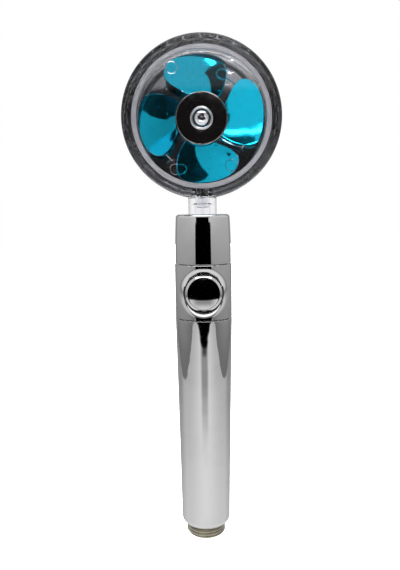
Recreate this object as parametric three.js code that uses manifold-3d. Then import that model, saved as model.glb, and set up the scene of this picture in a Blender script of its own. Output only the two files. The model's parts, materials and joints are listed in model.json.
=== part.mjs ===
// Handheld shower head with a clear spinning-propeller head, a swivel neck and a stop button.
// Millimetres, +Z up along the handle. The origin is the centre of the inlet thread's end face.
// The jets and the button face -Y, so "front" below is the distance towards -Y from the handle's axis.

import * as THREE from 'three';
import { mergeGeometries, mergeVertices } from 'three/addons/utils/BufferGeometryUtils.js';
import Module from 'manifold-3d';

const wasm = await Module();
wasm.setup();

// ---------------------------------------------------------------- driving dimensions

const GAP = 0.3;                  // between neighbouring pieces
const FIT = 0.15;                 // between a turning or sliding piece and its guide

// Head. Its axis runs along Y through (0, 0, HEAD_Z).
const HEAD_Z = 223.4;
const HEAD_R = 40;
const FACE = 12;                  // front of the spray plate
const PLATE = 2.1;                // thickness of the spray plate
const SKIRT_BACK = 3.3;           // where the cap's skirt ends
const GRIP_RIBS = 30;
const RIB_DEPTH = 0.5;
const CHAMBER_R = 33.7;
const CHAMBER_FLOOR = -3;
const CHAMBER_BACK = -5.2;
const COVER_BACK = -9.6;
const SEAL_INNER_R = 32.7;
const SEAL_OUTER_R = 35.2;
const JET_SIZE = 0.7;
const JET_RINGS = [[14, 12], [19.5, 18], [25, 24], [30.5, 30]];   // radius and count
const MARK_R = 3.15;
const MARK_CIRCLE_R = 28;
const MARK_ANGLE = 31.5;

// Propeller
const BLADES = 4;
const BLADE_TIP_R = 32;
const BLADE_THICKNESS = 1.1;
const BLADE_ROOT_R = 12.3;
const BLADE_TIP_DROP = 4.2;         // how far a blade's corners lie inside its tip
const HUB_R = 13.1;
const HUB_FRONT = 4.2;
const HUB_BACK = -1.4;
const HUB_DOME_R = 3.8;
const PIN_R = 1.45;
const BUSH_R = 2.5;

// Neck and swivel
const NECK_R = 7.35;
const STEM_R = 6;
const STEM_BORE_R = 3.6;
const STEM_FOOT_Z = 151.3;
const NECK_SHOULDER_Z = 171;
const NOZZLE_R = 3;
const NOZZLE_BORE_R = 2;
const NOZZLE_FOOT_Z = 179.2;
const NOZZLE_TOP_Z = 190.2;
const O_RING_Z = [158.5, 164.5];

// Handle, from the inlet up
const THREAD_MAJOR_R = 10.48;     // half-inch pipe thread
const THREAD_MINOR_R = 9.32;
const THREAD_PITCH = 1.814;
const THREAD_TOP_Z = 6.2;
const INLET_BORE_R = 7.2;
const INLET_BORE_TOP_Z = 9.4;
const SCREEN_Z = 5.5;
const SCREEN_THICKNESS = 0.8;
const INSERT_R = 6.9;             // strainer and restrictor, inside the inlet's bore
const SHELL_FOOT_Z = 6.4;
const SHELL_TOP_Z = 120.55;
const SHELL_FOOT_R = 13.2;
const SHELL_TOP_R = 15.1;
const SHELL_WALL = 1.7;
const HOUSING_FOOT_Z = 120.85;
const HOUSING_TOP_Z = 149.5;
const HOUSING_R = 15.05;
const HOUSING_BORE_R = 12.9;
const COLLAR_FOOT_Z = 149.8;
const COLLAR_TOP_Z = 175.1;
const COLLAR_FOOT_R = 14.75;
const COLLAR_TOP_R = 14.1;
const COLLAR_BORE_R = 12.1;

// Stop valve, on an axis along Y through (0, 0, BUTTON_Z). The button travels towards +Y.
const BUTTON_Z = 135;
const BUTTON_R = 9.5;
const BUTTON_TRAVEL = 2.8;
const POCKET_R = 10.8;
const POCKET_FLOOR = 7;
const VALVE_BODY_R = 12.6;
const VALVE_STEM_R = 2;

// Segments round a turned piece
const FINE = 48;
const MEDIUM = 32;
const COARSE = 16;

// Slivers shorter than this are dropped after cutting.
const SLIVER = 0.005;

// ---------------------------------------------------------------- solids

// Welds a geometry, drops its flat triangles and turns its faces outwards.
function closed(geometry) {
  const plain = geometry.clone();
  plain.deleteAttribute('normal');
  plain.deleteAttribute('uv');
  const welded = mergeVertices(plain, 1e-4);
  const position = welded.getAttribute('position');
  const index = welded.getIndex().array;
  const corners = [];
  for (let i = 0; i < index.length; i += 3) {
    const [a, b, c] = [index[i], index[i + 1], index[i + 2]];
    if (a !== b && b !== c && c !== a) corners.push(a, b, c);
  }
  const [p, q, r] = [new THREE.Vector3(), new THREE.Vector3(), new THREE.Vector3()];
  let volume = 0;
  for (let i = 0; i < corners.length; i += 3) {
    p.fromBufferAttribute(position, corners[i]);
    q.fromBufferAttribute(position, corners[i + 1]);
    r.fromBufferAttribute(position, corners[i + 2]);
    volume += p.dot(q.cross(r));
  }
  if (volume < 0) corners.reverse();
  welded.setIndex(corners);
  return welded;
}

function solid(geometry) {
  const mesh = closed(geometry);
  return new wasm.Manifold(new wasm.Mesh({
    numProp: 3,
    vertProperties: new Float32Array(mesh.getAttribute('position').array),
    triVerts: new Uint32Array(mesh.getIndex().array),
  }));
}

function geometryOf(body) {
  const mesh = body.simplify(SLIVER).getMesh();
  const geometry = new THREE.BufferGeometry();
  geometry.setAttribute('position', new THREE.BufferAttribute(new Float32Array(mesh.vertProperties), 3));
  geometry.setIndex(new THREE.BufferAttribute(new Uint32Array(mesh.triVerts), 1));
  return geometry;
}

// A piece turned about Z. The outline is a closed loop of [radius, z].
function turned(outline, segments = MEDIUM) {
  const loop = [...outline, outline[0]].map(([r, z]) => new THREE.Vector2(r, z));
  return new THREE.LatheGeometry(loop, segments).rotateX(Math.PI / 2);
}

// A piece turned about an axis along Y at the given height. The outline is a closed loop of [radius, front].
function turnedFacing(outline, height, segments = MEDIUM) {
  const loop = [...outline, outline[0]].map(([r, front]) => new THREE.Vector2(r, -front));
  return new THREE.LatheGeometry(loop, segments).translate(0, 0, height);
}

// Plain rings and rods are the same thing with and without a hole.
function ring(inner, outer, from, to) {
  return [[inner, from], [outer, from], [outer, to], [inner, to]];
}

function rod(radius, from, to) {
  return ring(0, radius, from, to);
}

// A round ring section, for O-rings.
function roundSection(middle, radius, at, sides = 8) {
  return Array.from({ length: sides }, (_, i) => {
    const angle = (2 * Math.PI * i) / sides;
    return [middle + radius * Math.cos(angle), at + radius * Math.sin(angle)];
  });
}

// Points of an arc from angle a to angle b, in degrees, about [x, y].
function arc(x, y, radius, a, b, steps = 4) {
  return Array.from({ length: steps + 1 }, (_, i) => {
    const angle = THREE.MathUtils.degToRad(a + ((b - a) * i) / steps);
    return [x + radius * Math.cos(angle), y + radius * Math.sin(angle)];
  });
}

// The place on the head's face at a clockwise angle from the top, as seen from the front.
function onFace(radius, degrees, front) {
  const angle = THREE.MathUtils.degToRad(degrees);
  return [radius * Math.sin(angle), -front, HEAD_Z + radius * Math.cos(angle)];
}

// ---------------------------------------------------------------- finishes

const FINISHES = {
  chrome: { color: 0xc9cacc, roughness: 0.08, metalness: 1 },
  clear: { color: 0xd9dcdf, roughness: 0.05, metalness: 0, transparent: true, opacity: 0.35 },
  teal: { color: 0x0aa9c0, roughness: 0.1, metalness: 1 },
  dark_mirror: { color: 0x201816, roughness: 0.06, metalness: 1 },
  silicone: { color: 0xc6c4c6, roughness: 0.35, metalness: 0 },
  rubber: { color: 0x161617, roughness: 0.7, metalness: 0 },
  white_plastic: { color: 0xe4e1d8, roughness: 0.5, metalness: 0 },
  black_plastic: { color: 0x141415, roughness: 0.45, metalness: 0 },
  nickel: { color: 0x98958a, roughness: 0.28, metalness: 1 },
  steel: { color: 0xb4b4b4, roughness: 0.3, metalness: 1 },
};

const shower = new THREE.Group();
const head = new THREE.Group();
const handle = new THREE.Group();
shower.add(head, handle);

function add(group, name, finish, geometry) {
  const mesh = new THREE.Mesh(closed(geometry), new THREE.MeshStandardMaterial(FINISHES[finish]));
  mesh.name = name;
  group.add(mesh);
}

// ---------------------------------------------------------------- head

// Outline of a ribbed grip: each rib is a flat land with a flat valley beside it.
function ribbedOutline(radius, depth, ribs) {
  const corners = [[0, 0], [0.4, 0], [0.55, depth], [0.85, depth]];
  const points = [];
  for (let rib = 0; rib < ribs; rib += 1) {
    for (const [share, inset] of corners) {
      const angle = (2 * Math.PI * (rib + share)) / ribs;
      points.push(new THREE.Vector2((radius - inset) * Math.cos(angle), (radius - inset) * Math.sin(angle)));
    }
  }
  return points;
}

// The clear screwed cap: spray plate, ribbed skirt, round marks inside, and the fine jet holes.
function sprayCap() {
  const inner = FACE - PLATE;
  const edge = 1.2;
  const plate = turnedFacing(
    [[0, inner], [HEAD_R, inner], ...arc(HEAD_R - edge, FACE - edge, edge, 0, 90, 3), [0, FACE]],
    HEAD_Z, FINE);
  const skirtShape = new THREE.Shape(ribbedOutline(HEAD_R, RIB_DEPTH, GRIP_RIBS));
  skirtShape.holes.push(new THREE.Path().absarc(0, 0, HEAD_R - 2.6, 0, 2 * Math.PI, true));
  const skirt = new THREE.ExtrudeGeometry(skirtShape, {
    depth: inner - SKIRT_BACK + 0.2, bevelEnabled: false, curveSegments: FINE / 2,
  });
  skirt.rotateX(Math.PI / 2).translate(0, -SKIRT_BACK, HEAD_Z);
  let cap = solid(plate).add(solid(skirt));

  for (const angle of [-MARK_ANGLE, MARK_ANGLE, 180 - MARK_ANGLE, 180 + MARK_ANGLE]) {
    const [x, , z] = onFace(MARK_CIRCLE_R, angle, 0);
    const mark = turnedFacing(rod(MARK_R, inner - 0.5, inner + 0.3), z, COARSE).translate(x, 0, 0);
    cap = cap.add(solid(mark));
  }

  const jets = [];
  for (const [radius, count] of JET_RINGS) {
    for (let jet = 0; jet < count; jet += 1) {
      const [x, y, z] = onFace(radius, (360 * jet) / count, FACE - PLATE / 2);
      jets.push(new THREE.BoxGeometry(JET_SIZE, 2 * PLATE, JET_SIZE).translate(x, y, z));
    }
  }
  return geometryOf(cap.subtract(solid(mergeGeometries(jets))));
}

// Clear chamber, closed at the back, in one moulding with the hollow neck that turns in the handle.
function headBody() {
  const threadFront = 8;
  const threadR = HEAD_R - 2.9;
  const flangeFront = SKIRT_BACK - GAP;
  const bossFront = CHAMBER_FLOOR + 1.4;
  const chamber = turnedFacing([
    [0, CHAMBER_BACK], [HEAD_R, CHAMBER_BACK], [HEAD_R, flangeFront], [threadR, flangeFront],
    [threadR, threadFront], [CHAMBER_R, threadFront], [CHAMBER_R, CHAMBER_FLOOR],
    [4.2, CHAMBER_FLOOR], [4.2, bossFront], [0, bossFront],
  ], HEAD_Z, FINE);

  const grooves = O_RING_Z.flatMap((z) => [
    [STEM_R, z - 0.8], [STEM_R - 1.4, z - 0.8], [STEM_R - 1.4, z + 0.8], [STEM_R, z + 0.8],
  ]);
  const stem = turned([
    [0, STEM_FOOT_Z], [STEM_R - 0.4, STEM_FOOT_Z], [STEM_R, STEM_FOOT_Z + 0.4],
    [STEM_R, 152.8], [STEM_R - 1, 152.8], [STEM_R - 1, 154.2], [STEM_R, 154.2],
    ...grooves,
    [STEM_R, NECK_SHOULDER_Z], [NECK_R, NECK_SHOULDER_Z], [NECK_R, HEAD_Z - CHAMBER_R - 2], [0, HEAD_Z - CHAMBER_R - 2],
  ], MEDIUM);

  // The neck stops short of the cap's skirt in front and of the back cover behind.
  const under = HEAD_R + GAP;
  const clearFront = turnedFacing(rod(under, flangeFront, NECK_R + 1), HEAD_Z, FINE);
  const clearBack = turnedFacing(rod(under, -NECK_R - 1, CHAMBER_BACK), HEAD_Z, FINE);
  const neck = solid(stem).subtract(solid(clearFront)).subtract(solid(clearBack));

  const bore = turned([
    [0, STEM_FOOT_Z - 1], [STEM_BORE_R, STEM_FOOT_Z - 1], [STEM_BORE_R, NOZZLE_FOOT_Z + 1],
    [NOZZLE_R + FIT, NOZZLE_FOOT_Z + 1.6], [NOZZLE_R + FIT, NOZZLE_TOP_Z + 3], [0, NOZZLE_TOP_Z + 3],
  ], COARSE);
  const pinHole = turnedFacing(rod(PIN_R + 0.1, CHAMBER_BACK + 0.8, bossFront + 1), HEAD_Z, COARSE);
  return geometryOf(solid(chamber).add(neck).subtract(solid(bore)).subtract(solid(pinHole)));
}

// Chromed back: flat mirror with a shallow step towards the chamber, and a low dome outside.
function backCover() {
  const front = CHAMBER_BACK - GAP;
  const rim = COVER_BACK + 2.4;
  return turnedFacing([
    [0, front - 0.6], [25, front - 0.6], [25.6, front], [HEAD_R, front],
    ...arc(HEAD_R - 1.4, rim, 1.4, 0, -60, 3), [34, COVER_BACK + 0.9], [22, COVER_BACK + 0.25], [0, COVER_BACK],
  ], HEAD_Z, FINE);
}

// Angles of a blade's edges from its centre line at a share of its length, in degrees.
const trailingAngle = (share) => 38.5 - 10.5 * share ** 1.8;
const leadingAngle = (share) => 25 + 48 * share - 31 * share ** 2;

// One cupped blade. across runs from -1 at the leading edge, near the front, to 1 at the trailing edge.
function blade(centre) {
  const rows = 6;
  const columns = 8;
  const vertices = [];
  for (const side of [-0.5, 0.5]) {
    for (let row = 0; row <= rows; row += 1) {
      for (let column = 0; column <= columns; column += 1) {
        const share = row / rows;
        const across = (2 * column) / columns - 1;
        const length = BLADE_TIP_R - BLADE_TIP_DROP * Math.abs(across) ** 6 - BLADE_ROOT_R;
        const swing = across < 0 ? across * leadingAngle(share) : across * trailingAngle(share);
        const rise = (4.2 + 3.6 * share) * ((1 - across) / 2) ** 1.35;
        const front = -0.8 + rise + side * BLADE_THICKNESS;
        vertices.push(...onFace(BLADE_ROOT_R + length * share, centre + swing, front));
      }
    }
  }
  const width = columns + 1;
  const layer = (rows + 1) * width;
  const at = (side, row, column) => side * layer + row * width + column;
  const triangles = [];
  const face = (a, b, c, d) => triangles.push(a, b, c, a, c, d);
  for (let row = 0; row < rows; row += 1) {
    for (let column = 0; column < columns; column += 1) {
      face(at(1, row, column), at(1, row, column + 1), at(1, row + 1, column + 1), at(1, row + 1, column));
      face(at(0, row, column), at(0, row + 1, column), at(0, row + 1, column + 1), at(0, row, column + 1));
    }
  }
  for (let column = 0; column < columns; column += 1) {
    face(at(1, 0, column + 1), at(1, 0, column), at(0, 0, column), at(0, 0, column + 1));
    face(at(1, rows, column), at(1, rows, column + 1), at(0, rows, column + 1), at(0, rows, column));
  }
  for (let row = 0; row < rows; row += 1) {
    face(at(1, row, 0), at(1, row + 1, 0), at(0, row + 1, 0), at(0, row, 0));
    face(at(1, row + 1, columns), at(1, row, columns), at(0, row, columns), at(0, row + 1, columns));
  }
  const geometry = new THREE.BufferGeometry();
  geometry.setAttribute('position', new THREE.Float32BufferAttribute(vertices, 3));
  geometry.setIndex(triangles);
  return geometry;
}

// Blades round a hollow hub that is open behind, with a boss for the bush and a pocket for the pin's head.
function impeller() {
  const wall = 1.6;
  const web = 1.8;
  const hub = turnedFacing([
    [BUSH_R + 0.05, HUB_BACK + 0.8], [3.6, HUB_BACK + 0.8], [3.6, HUB_FRONT - web], [HUB_R - wall, HUB_FRONT - web],
    [HUB_R - wall, HUB_BACK], [HUB_R, HUB_BACK], [HUB_R, HUB_FRONT],
    [2.9, HUB_FRONT], [2.9, 2.9], [BUSH_R + 0.05, 2.9],
  ], HEAD_Z, MEDIUM);
  let body = solid(hub);
  for (let number = 0; number < BLADES; number += 1) {
    body = body.add(solid(blade((360 * number) / BLADES)));
  }
  return geometryOf(body);
}

function axlePin() {
  const foot = CHAMBER_BACK + 1;
  return turnedFacing([
    [0, foot], [PIN_R, foot], [PIN_R, 3.1], [2.6, 3.1], [2.6, 3.7], [2.1, 3.95], [0, 3.95],
  ], HEAD_Z, COARSE);
}

function hubDome() {
  return turnedFacing([
    [0, HUB_FRONT + 0.15], [HUB_DOME_R, HUB_FRONT + 0.15], [HUB_DOME_R, 5], [3.3, 5.65],
    [2.2, 6.15], [1.1, 6.35], [0, 6.4],
  ], HEAD_Z, COARSE);
}

function hubCap() {
  const back = HUB_FRONT + 0.15;
  return turnedFacing([
    [4.3, back], [HUB_R + 0.2, back], [HUB_R + 0.2, back + 0.5], [HUB_R - 0.2, back + 0.9], [4.3, back + 0.9],
  ], HEAD_Z, MEDIUM);
}

function hubRing() {
  return turnedFacing([[4.7, 5.35], [5.9, 5.35], [5.9, 5.6], [5.5, 5.95], [5.1, 5.95], [4.7, 5.6]], HEAD_Z, MEDIUM);
}

function nozzle() {
  return turned([
    [NOZZLE_BORE_R, NOZZLE_FOOT_Z - 0.6], [2.8, NOZZLE_FOOT_Z - 0.6], [3.4, NOZZLE_FOOT_Z], [3.4, NOZZLE_FOOT_Z + 0.8],
    [NOZZLE_R, NOZZLE_FOOT_Z + 1.3], [NOZZLE_R, NOZZLE_TOP_Z], [NOZZLE_BORE_R, NOZZLE_TOP_Z],
  ], COARSE);
}

add(head, 'spray_cap', 'clear', sprayCap());
add(head, 'cap_seal', 'silicone', turnedFacing(
  [[SEAL_INNER_R, 8.2], [SEAL_OUTER_R, 8.2], [SEAL_OUTER_R, 9.2], [34.8, 9.6], [33.1, 9.6], [SEAL_INNER_R, 9.2]],
  HEAD_Z, FINE));
add(head, 'head_body', 'clear', headBody());
add(head, 'back_cover', 'chrome', backCover());
add(head, 'jet_nozzle', 'clear', nozzle());
add(head, 'axle_pin', 'steel', axlePin());
add(head, 'thrust_washer', 'white_plastic', turnedFacing(ring(PIN_R + FIT, 3.6, -1.45, -0.85), HEAD_Z, COARSE));
add(head, 'impeller', 'teal', impeller());
add(head, 'impeller_bush', 'white_plastic', turnedFacing(ring(PIN_R + 0.06, BUSH_R, -0.75, 2.8), HEAD_Z, COARSE));
add(head, 'hub_cap', 'dark_mirror', hubCap());
add(head, 'hub_ring', 'chrome', hubRing());
add(head, 'hub_dome', 'chrome', hubDome());

// ---------------------------------------------------------------- swivel

// A spring clip with its mouth open at the back.
function retainingClip() {
  const [inner, outer, half] = [STEM_R - 0.85, 8.6, 0.45];
  const shape = new THREE.Shape();
  shape.absarc(0, 0, outer, Math.PI / 2 + half, Math.PI / 2 - half + 2 * Math.PI, false);
  shape.absarc(0, 0, inner, Math.PI / 2 - half + 2 * Math.PI, Math.PI / 2 + half, true);
  const clip = new THREE.ExtrudeGeometry(shape, { depth: 1.1, bevelEnabled: false, curveSegments: 10 });
  return clip.translate(0, 0, 152.95);
}

function swivelCollar() {
  const round = 1.6;
  return turned([
    [COLLAR_BORE_R, COLLAR_FOOT_Z], [COLLAR_FOOT_R - 0.25, COLLAR_FOOT_Z], [COLLAR_FOOT_R, COLLAR_FOOT_Z + 0.25],
    [COLLAR_FOOT_R - 0.15, 160], [COLLAR_TOP_R + 0.15, 168],
    ...arc(COLLAR_TOP_R - round, COLLAR_TOP_Z - round, round, 0, 90, 3),
    [NECK_R + GAP, COLLAR_TOP_Z], [NECK_R + GAP, NECK_SHOULDER_Z + 0.2], [COLLAR_BORE_R, NECK_SHOULDER_Z + 0.2],
  ], FINE);
}

for (const [index, z] of O_RING_Z.entries()) {
  add(head, ['stem_o_ring_lower', 'stem_o_ring_upper'][index], 'rubber', turned(roundSection(5.4, 0.65, z, 6), COARSE));
}
add(head, 'retaining_clip', 'steel', retainingClip());
add(handle, 'slip_washer', 'white_plastic', turned(ring(STEM_R + GAP, 9.5, 169.9, 170.8), COARSE));
add(handle, 'swivel_bush', 'white_plastic', turned(ring(STEM_R + FIT, COLLAR_BORE_R - GAP, 155.2, 169.7)));
add(handle, 'collar_seal', 'rubber', turned(ring(9.9, 11.7, 154.35, 155.05), COARSE));
add(handle, 'swivel_collar', 'chrome', swivelCollar());

// ---------------------------------------------------------------- stop valve

// Water rises behind the seat, crosses it to the front chamber and leaves upwards.
function valveBody() {
  const chamberR = 6;
  const seatFront = -2.5;
  const block = turned([
    [0, 110.5], [VALVE_BODY_R, 110.5], [VALVE_BODY_R, HOUSING_TOP_Z],
    [COLLAR_BORE_R - GAP, HOUSING_TOP_Z], [COLLAR_BORE_R - GAP, 154.2], [9.6, 154.2], [9.6, 150.6], [0, 150.6],
  ]);
  const cuts = [
    turned([[0, 109], [6.3, 109], [6.3, 118], [4, 118], [4, 126.5], [0, 126.5]], COARSE),
    new THREE.BoxGeometry(5, 7.5, 4).translate(0, 4.2, 124),
    turned(rod(2.5, 122.5, BUTTON_Z), COARSE).translate(0, 6.9, 0),
    turned(rod(2.8, BUTTON_Z + 2, 151), COARSE),
    turnedFacing(rod(POCKET_R, POCKET_FLOOR, 14), BUTTON_Z, MEDIUM),
    turnedFacing(rod(chamberR, seatFront, POCKET_FLOOR + 1), BUTTON_Z, COARSE),
    turnedFacing(rod(3.2, -5, seatFront + 1), BUTTON_Z, COARSE),
    turnedFacing(rod(4.5, -9.5, -4), BUTTON_Z, COARSE),
  ];
  return geometryOf(cuts.reduce((body, cut) => body.subtract(solid(cut)), solid(block)));
}

// Chrome sleeve of the button section, with a dished edge round the button's hole.
function buttonHousing() {
  const sleeve = turned([
    [HOUSING_BORE_R, HOUSING_FOOT_Z], [HOUSING_R - 0.25, HOUSING_FOOT_Z], [HOUSING_R, HOUSING_FOOT_Z + 0.25],
    [HOUSING_R, HOUSING_TOP_Z - 0.25], [HOUSING_R - 0.25, HOUSING_TOP_Z], [HOUSING_BORE_R, HOUSING_TOP_Z],
  ], FINE);
  const hole = turnedFacing([
    [0, 0], [POCKET_R, 0], [POCKET_R, 13.6], [11.5, 14.9], [11.5, 17], [0, 17],
  ], BUTTON_Z, MEDIUM);
  return geometryOf(solid(sleeve).subtract(solid(hole)));
}

// Domed button: bevelled mirror face and a hollow skirt that stays clear of the pocket's floor.
function pushButton() {
  const skirtBack = POCKET_FLOOR + BUTTON_TRAVEL + 0.5;
  return turnedFacing([
    [0, 13], [8.5, 13], [8.5, skirtBack], [BUTTON_R, skirtBack], [BUTTON_R, 13.7], [8.3, 14.75],
    [6.5, 15.05], [4.3, 15.3], [2.1, 15.45], [0, 15.5],
  ], BUTTON_Z, MEDIUM);
}

function valveStem() {
  return turnedFacing([
    [0, 12.85], [VALVE_STEM_R, 12.85], [VALVE_STEM_R, 2.9], [3.6, 2.9], [3.6, 2.3],
    [1.2, 2.3], [1.2, 1], [0, 1],
  ], BUTTON_Z, COARSE);
}

function valveGland() {
  return turnedFacing([
    [VALVE_STEM_R + FIT, 3], [5.8, 3], [5.8, 6.9], [VALVE_STEM_R + FIT, 6.9],
    [VALVE_STEM_R + FIT, 5.8], [3.8, 5.8], [3.8, 4.1], [VALVE_STEM_R + FIT, 4.1],
  ], BUTTON_Z, COARSE);
}

// Ring with four lugs that holds the button in or lets it out.
function latchRing() {
  const shape = new THREE.Shape();
  for (let lug = 0; lug < 4; lug += 1) {
    const start = (Math.PI * lug) / 2;
    shape.absarc(0, 0, 8.2, start, start + 0.4, false);
    shape.absarc(0, 0, 7.6, start + 0.45, start + Math.PI / 2 - 0.05, false);
  }
  shape.holes.push(new THREE.Path().absarc(0, 0, 6.3, 0, 2 * Math.PI, true));
  const latch = new THREE.ExtrudeGeometry(shape, { depth: 1.7, bevelEnabled: false, curveSegments: 3 });
  return latch.rotateX(Math.PI / 2).translate(0, -10.9, BUTTON_Z);
}

class Helix extends THREE.Curve {
  getPoint(share, target = new THREE.Vector3()) {
    const [radius, turns, from, to] = [4.8, 3.5, 7.55, 12.35];
    const angle = 2 * Math.PI * turns * share;
    return target.set(radius * Math.cos(angle), -(from + (to - from) * share), radius * Math.sin(angle));
  }
}

function buttonSpring() {
  const wire = new THREE.Shape(arc(0, 0, 0.35, 0, 288, 4).map(([x, y]) => new THREE.Vector2(x, y)));
  const coil = new THREE.ExtrudeGeometry(wire, { steps: 42, extrudePath: new Helix() });
  return coil.translate(0, 0, BUTTON_Z);
}

add(handle, 'button_housing', 'chrome', buttonHousing());
add(handle, 'valve_body', 'white_plastic', valveBody());
add(handle, 'button_guide', 'black_plastic', turnedFacing(ring(BUTTON_R + GAP, POCKET_R - 0.2, 7.15, 10.2), BUTTON_Z));
add(handle, 'valve_gland', 'white_plastic', valveGland());
add(handle, 'gland_o_ring', 'rubber', turnedFacing(roundSection(2.85, 0.75, 4.95, 6), BUTTON_Z, COARSE));
add(handle, 'button_spring', 'steel', buttonSpring());
add(handle, 'push_button', 'chrome', pushButton());
add(handle, 'latch_ring', 'white_plastic', latchRing());
add(handle, 'valve_stem', 'steel', valveStem());
add(handle, 'valve_disc', 'rubber', turnedFacing(ring(1.35, 5, 0.4, 2.15), BUTTON_Z, COARSE));

// ---------------------------------------------------------------- grip and inlet

// Outer radius of the grip at a height: a slight swelling taper from the foot to the top.
function gripRadius(z) {
  const share = (z - 11) / (SHELL_TOP_Z - 11);
  return SHELL_FOOT_R + (SHELL_TOP_R - SHELL_FOOT_R) * share ** 1.1;
}

function handleShell() {
  const outside = [30, 53, 85, SHELL_TOP_Z - 0.3].map((z) => [gripRadius(z), z]);
  const inside = [85, 30].map((z) => [gripRadius(z) - SHELL_WALL, z]);
  const foot = arc(SHELL_FOOT_R - 3.2, SHELL_FOOT_Z + 3.2, 3.2, -60, 0, 3);
  return turned([
    [THREAD_MAJOR_R + GAP, SHELL_FOOT_Z + 0.2], ...foot, ...outside,
    [SHELL_TOP_R - 0.3, SHELL_TOP_Z], [VALVE_BODY_R + GAP, SHELL_TOP_Z], [VALVE_BODY_R + GAP, 108],
    ...inside, [11.4, 8.6], [THREAD_MAJOR_R + GAP, 8.6],
  ], FINE);
}

// A rod with a helical thread, its radius rising and falling once a pitch. It fades out at both ends.
function threadedRod() {
  const around = 24;
  const rows = 17;
  const vertices = [0, 0, 0];
  for (let row = 0; row <= rows; row += 1) {
    const z = (THREAD_TOP_Z * row) / rows;
    const full = Math.min(1, z / 1.2, (THREAD_TOP_Z - z) / 0.8);
    for (let column = 0; column < around; column += 1) {
      const share = column / around;
      const phase = (((z / THREAD_PITCH - share) % 1) + 1) % 1;
      const crest = THREE.MathUtils.clamp(1.7 * (1 - Math.abs(2 * phase - 1)) - 0.35, 0, 1);
      const radius = THREAD_MINOR_R + (THREAD_MAJOR_R - THREAD_MINOR_R) * crest * full - 0.3 * (row === 0);
      vertices.push(radius * Math.cos(2 * Math.PI * share), radius * Math.sin(2 * Math.PI * share), z);
    }
  }
  const top = vertices.length / 3;
  vertices.push(0, 0, THREAD_TOP_Z);
  const triangles = [];
  for (let column = 0; column < around; column += 1) {
    const next = (column + 1) % around;
    triangles.push(0, 1 + next, 1 + column);
    triangles.push(top, top - around + column, top - around + next);
    for (let row = 0; row < rows; row += 1) {
      const [a, b] = [1 + row * around, 1 + (row + 1) * around];
      triangles.push(a + column, a + next, b + next, a + column, b + next, b + column);
    }
  }
  const geometry = new THREE.BufferGeometry();
  geometry.setAttribute('position', new THREE.Float32BufferAttribute(vertices, 3));
  geometry.setIndex(triangles);
  return geometry;
}

function inletConnector() {
  const shank = turned([
    [0, THREAD_TOP_Z - 0.4], [THREAD_MINOR_R, THREAD_TOP_Z - 0.4], [THREAD_MINOR_R, 8.9], [11.2, 8.9],
    [11.2, 11], [8.2, 11], [8.2, 22], [0, 22],
  ]);
  const bore = turned([
    [0, -1], [INLET_BORE_R, -1], [INLET_BORE_R, INLET_BORE_TOP_Z], [5, INLET_BORE_TOP_Z],
    [5, 14], [6.3, 14], [6.3, 23], [0, 23],
  ], COARSE);
  return geometryOf(solid(threadedRod()).add(solid(shank)).subtract(solid(bore)));
}

// Strainer disc with rings of square holes.
function inletScreen() {
  const holes = [];
  for (const [radius, count] of [[0, 1], [2.2, 6], [4.5, 12]]) {
    for (let hole = 0; hole < count; hole += 1) {
      const angle = (2 * Math.PI * hole) / count;
      holes.push(new THREE.BoxGeometry(1.1, 1.1, 3)
        .translate(radius * Math.cos(angle), radius * Math.sin(angle), SCREEN_Z));
    }
  }
  const disc = solid(turned(rod(INSERT_R, SCREEN_Z, SCREEN_Z + SCREEN_THICKNESS), COARSE));
  return geometryOf(disc.subtract(solid(mergeGeometries(holes))));
}

add(handle, 'handle_shell', 'chrome', handleShell());
add(handle, 'water_tube', 'white_plastic', turned(ring(4.6, 6, 15.2, 116.6), COARSE));
add(handle, 'tube_upper_seal', 'rubber', turned(ring(4.5, 6, 116.8, 117.8), COARSE));
add(handle, 'tube_lower_seal', 'rubber', turned(ring(5.2, 6.1, 14.2, 15), COARSE));
add(handle, 'inlet_connector', 'nickel', inletConnector());
add(handle, 'flow_restrictor', 'white_plastic', turned(
  ring(2.1, INSERT_R, SCREEN_Z + SCREEN_THICKNESS + GAP, INLET_BORE_TOP_Z - GAP), COARSE));
add(handle, 'inlet_screen', 'steel', inletScreen());

export default shower;
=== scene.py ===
"""Looks of a handheld shower with a clear propeller head: detailed pieces, finishes, studio and camera."""
import json
import math
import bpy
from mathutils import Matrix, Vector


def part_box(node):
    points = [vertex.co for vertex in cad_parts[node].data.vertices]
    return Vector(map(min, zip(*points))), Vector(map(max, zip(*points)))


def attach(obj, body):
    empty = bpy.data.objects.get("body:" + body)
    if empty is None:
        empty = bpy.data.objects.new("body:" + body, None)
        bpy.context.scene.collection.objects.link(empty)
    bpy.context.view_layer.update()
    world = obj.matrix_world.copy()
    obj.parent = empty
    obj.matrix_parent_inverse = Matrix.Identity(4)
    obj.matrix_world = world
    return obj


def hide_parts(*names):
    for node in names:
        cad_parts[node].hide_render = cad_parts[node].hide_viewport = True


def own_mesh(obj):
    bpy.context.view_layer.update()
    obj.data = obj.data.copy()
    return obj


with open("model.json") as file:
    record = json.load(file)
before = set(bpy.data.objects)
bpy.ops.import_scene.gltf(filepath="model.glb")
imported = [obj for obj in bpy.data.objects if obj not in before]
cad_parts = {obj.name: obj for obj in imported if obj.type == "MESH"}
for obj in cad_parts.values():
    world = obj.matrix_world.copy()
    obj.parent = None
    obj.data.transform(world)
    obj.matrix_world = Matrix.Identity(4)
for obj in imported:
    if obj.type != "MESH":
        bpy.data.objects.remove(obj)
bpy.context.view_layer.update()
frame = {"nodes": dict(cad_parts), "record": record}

from types import SimpleNamespace

import bpy
from mathutils import Matrix, Vector

bl_info = {
    "name": "Propeller hand shower",
    "version": (1, 0, 0),
    "blender": (4, 5, 0),
    "location": "View3D > Sidebar > Hand shower",
    "description": "Builds the detailed pieces of a clear-headed hand shower round its frame",
    "category": "Add Mesh",
}

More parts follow.
